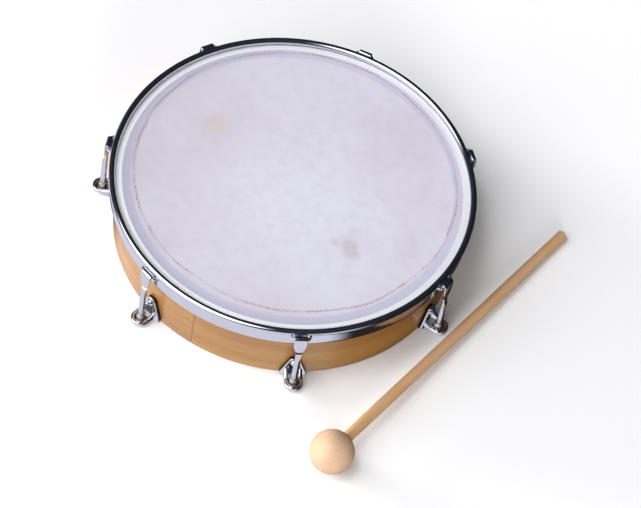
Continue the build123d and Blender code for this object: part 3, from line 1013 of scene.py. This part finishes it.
def make_stick():
    """The dowel, faintly uneven, with its far end eased."""
    around = even_angles(64)
    end = STICK_LENGTH
    stations = np.concatenate(
        [[0.0, 0.3], np.linspace(4, end - 1, 60), [end - 0.5, end - 0.22, end - 0.06, end]]
    )
    eased = np.zeros(len(stations))
    eased[0] = 0.3
    eased[-3:] = 0.08, 0.25, 0.5
    uneven = 0.05 * np.sin(stations / 31) + 0.03 * np.sin(stations / 11 + 1)
    radii = STICK_RADIUS - eased - 0.05 + uneven * 0.5
    rows = [ring_x(x, radius, around) for x, radius in zip(stations, radii)]
    wood = beater_wood("beater_dowel_wood", STICK_LIGHT, STICK_DARK, STICK_RINGS, 0.45)
    return build("beater_dowel", [grid(capped(rows))], wood, sharp=50)


def make_ball():
    """The turned ball, bored for the stick and with faint tool rings."""
    around = even_angles(96)
    low, high = box_mm("beater_ball")
    ball = (high[0] - low[0]) / 2
    mouth = math.asin((STICK_RADIUS + 0.1) / ball)
    polar = np.linspace(0, math.pi, 73)
    polar = np.concatenate([[mouth + 0.02], polar[polar > mouth + 0.02]])
    profile = [(0.5, STICK_RADIUS + 0.06), (ball * math.cos(mouth) - 0.5, STICK_RADIUS + 0.08)]
    profile += [(ball * math.cos(a), ball * math.sin(a)) for a in polar]
    rows = []
    for x, radius in profile:
        groove = 0.05 * math.sin(x * 2.3) ** 8 if radius > STICK_RADIUS + 0.2 else 0.0
        rows.append(ring_x(x, radius - groove, around))
    wood = beater_wood("beater_knob_wood", BALL_LIGHT, BALL_DARK, BALL_RINGS, 0.2)
    return build("beater_knob", [grid(capped(rows))], wood, sharp=50)


def make_beater():
    matrix = beater_frame()
    for piece, node in ((make_stick(), "beater_stick"), (make_ball(), "beater_ball")):
        piece.matrix_world = matrix
        place(piece, "beater", [node])


# ---------------------------------------------------------------- studio

CAMERA_AZIMUTH, CAMERA_ELEVATION = math.radians(-10.65), math.radians(53.187)
CAMERA_DISTANCE = 2.34077
CAMERA_ROLL, CAMERA_PAN, CAMERA_TILT = math.radians(11.426), 0.0125, -0.0062
CAMERA_LENS, CAMERA_SENSOR = 177.86, 36.0
CAMERA_TARGET = Vector((0, 0, 0.001))
FLOOR_RADIUS = 620.0
FLOOR_DROP = 0.0002

# The key: a round window in a dim room
KEY_AZIMUTH, KEY_ELEVATION = 203.0, 43.0
KEY_RADIUS, KEY_EDGE = 37.0, 5.0
KEY_COLOUR = (2.6, 2.6, 2.66, 1)
ROOM_COLOUR = (0.012, 0.013, 0.017, 1)
ROOM_LEFT_COLOUR = (0.05, 0.053, 0.062, 1)
ROOM_SPREAD = 110.0
BACKDROP = (0.98, 0.98, 0.99, 1)

# What shiny pieces see below the horizon in place of the floor
TABLE_AZIMUTH, TABLE_REACH, TABLE_EDGE = 212.0, 96.0, 9.0
TABLE_BRIGHT = (0.92, 0.92, 0.95, 1)
TABLE_DARK = (0.03, 0.026, 0.024, 1)

# Soft lamps that don't show in reflections: azimuth, elevation, power and size in metres
LAMP_DISTANCE = 4.0
LAMPS = {
    "fill_front": (275, 18, 72.0, 1.6),
    "fill_right": (320, 40, 6.0, 1.6),
    "fill_high": (195, 74, 26.0, 1.2),
    "fill_left": (155, 6, 230.0, 1.6),
}


def towards(azimuth, elevation):
    """The unit vector at an azimuth and elevation in degrees."""
    a, e = math.radians(azimuth), math.radians(elevation)
    return Vector((math.cos(e) * math.cos(a), math.cos(e) * math.sin(a), math.sin(e)))


def cosines(middle, edge):
    """Cosines of the angles just outside and just inside a soft edge, in degrees."""
    return math.cos(math.radians(middle + edge)), math.cos(math.radians(middle - edge))


def make_camera():
    """About 53 degrees above the table, far away, rolled a little."""
    back = Vector((
        math.sin(CAMERA_AZIMUTH) * math.cos(CAMERA_ELEVATION),
        -math.cos(CAMERA_AZIMUTH) * math.cos(CAMERA_ELEVATION),
        math.sin(CAMERA_ELEVATION),
    ))
    forward = -back
    right = forward.cross(Vector((0, 0, 1))).normalized()
    up = right.cross(forward)
    forward = (forward + right * math.tan(CAMERA_PAN) + up * math.tan(CAMERA_TILT)).normalized()
    right = forward.cross(Vector((0, 0, 1))).normalized()
    up = right.cross(forward)
    across = right * math.cos(CAMERA_ROLL) + up * math.sin(CAMERA_ROLL)
    above = up * math.cos(CAMERA_ROLL) - right * math.sin(CAMERA_ROLL)
    data = bpy.data.cameras.new("camera")
    data.sensor_width = CAMERA_SENSOR
    data.lens = CAMERA_LENS
    data.clip_start, data.clip_end = 0.1, 50.0
    camera = bpy.data.objects.new("camera", data)
    camera.matrix_world = Matrix((across, above, -forward)).transposed().to_4x4()
    camera.location = back * CAMERA_DISTANCE + CAMERA_TARGET
    bpy.context.scene.collection.objects.link(camera)
    bpy.context.scene.camera = camera


def make_floor():
    s = Shader("studio_floor")
    cloud = s.noise(s.position(), 1.5, 3.0)
    base = s.mix(s.ramp(cloud, 0.3, 0.7), rgb(FLOOR_LOW), rgb(FLOOR_HIGH))
    material = s.finish(Base_Color=base, Roughness=0.9)
    rows = lathe_rows([(r, 0) for r in np.linspace(0, FLOOR_RADIUS, 13)], even_angles(96))
    floor = build("floor", [grid(rows, wrap_rows=True, wrap_columns=False)], material)
    floor.location.z = -FLOOR_DROP
    floor.visible_glossy = False


def make_world():
    """A dim room with one bright window high on the left, a table below, and a pale backdrop."""
    world = bpy.data.worlds.new("studio")
    bpy.context.scene.world = world
    world.use_nodes = True
    world.node_tree.nodes.clear()
    s = Nodes(world.node_tree)
    around = s.add("TexCoord")
    unit = s.add("VectorMath", {0: around}, operation="NORMALIZE")
    from_key = s.cosine(unit, towards(KEY_AZIMUTH, KEY_ELEVATION))
    sky = s.mix(s.ramp(from_key, math.cos(math.radians(ROOM_SPREAD)), 1.0), ROOM_COLOUR, ROOM_LEFT_COLOUR)
    sky = s.mix(s.ramp(from_key, *cosines(KEY_RADIUS, KEY_EDGE)), sky, KEY_COLOUR)
    level = s.add("VectorMath", {0: around, 1: (1.0, 1.0, 0.0)}, operation="MULTIPLY")
    level = s.add("VectorMath", {0: level}, operation="NORMALIZE")
    lit = s.ramp(s.cosine(level, towards(TABLE_AZIMUTH, 0)), *cosines(TABLE_REACH, TABLE_EDGE))
    table = s.mix(lit, TABLE_DARK, TABLE_BRIGHT)
    sky = s.mix(s.ramp(s.cosine(unit, (0, 0, -1)), 0.0, 0.12), sky, table)
    room = s.add("Background", {"Color": sky, "Strength": 1.0})
    backdrop = s.add("Background", {"Color": BACKDROP, "Strength": 1.0})
    seen = s.add("LightPath")
    s.node("OutputWorld", {"Surface": s.add("MixShader", {0: seen, 1: room, 2: backdrop})})
    bpy.context.scene.view_settings.view_transform = "Standard"


def make_lamps():
    for name, (azimuth, elevation, power, size) in LAMPS.items():
        data = bpy.data.lights.new(name, "AREA")
        data.shape = "DISK"
        data.size = size
        data.energy = power
        lamp = bpy.data.objects.new(name, data)
        where = towards(azimuth, elevation)
        lamp.location = where * LAMP_DISTANCE
        lamp.rotation_euler = where.to_track_quat("Z", "Y").to_euler()
        lamp.visible_glossy = False
        lamp.visible_camera = False
        bpy.context.scene.collection.objects.link(lamp)


make_camera()
make_shell(shell_wood())
make_drumhead(skin())
make_flesh_hoop(hidden_wood())
make_counterhoop(chrome("hoop_chrome", HOOP_TINT, 0.05))
make_hooks(chrome("hook_chrome", HOOK_TINT, 0.07))
# the brackets get painted shade in their sunken plates
make_brackets(chrome("bracket_chrome", BRACKET_TINT, 0.08, recess=True))
make_nuts(nickel())
make_fasteners(chrome("bolt_chrome", BOLT_TINT, 0.07), zinc())
make_beater()
make_floor()
make_world()
make_lamps()
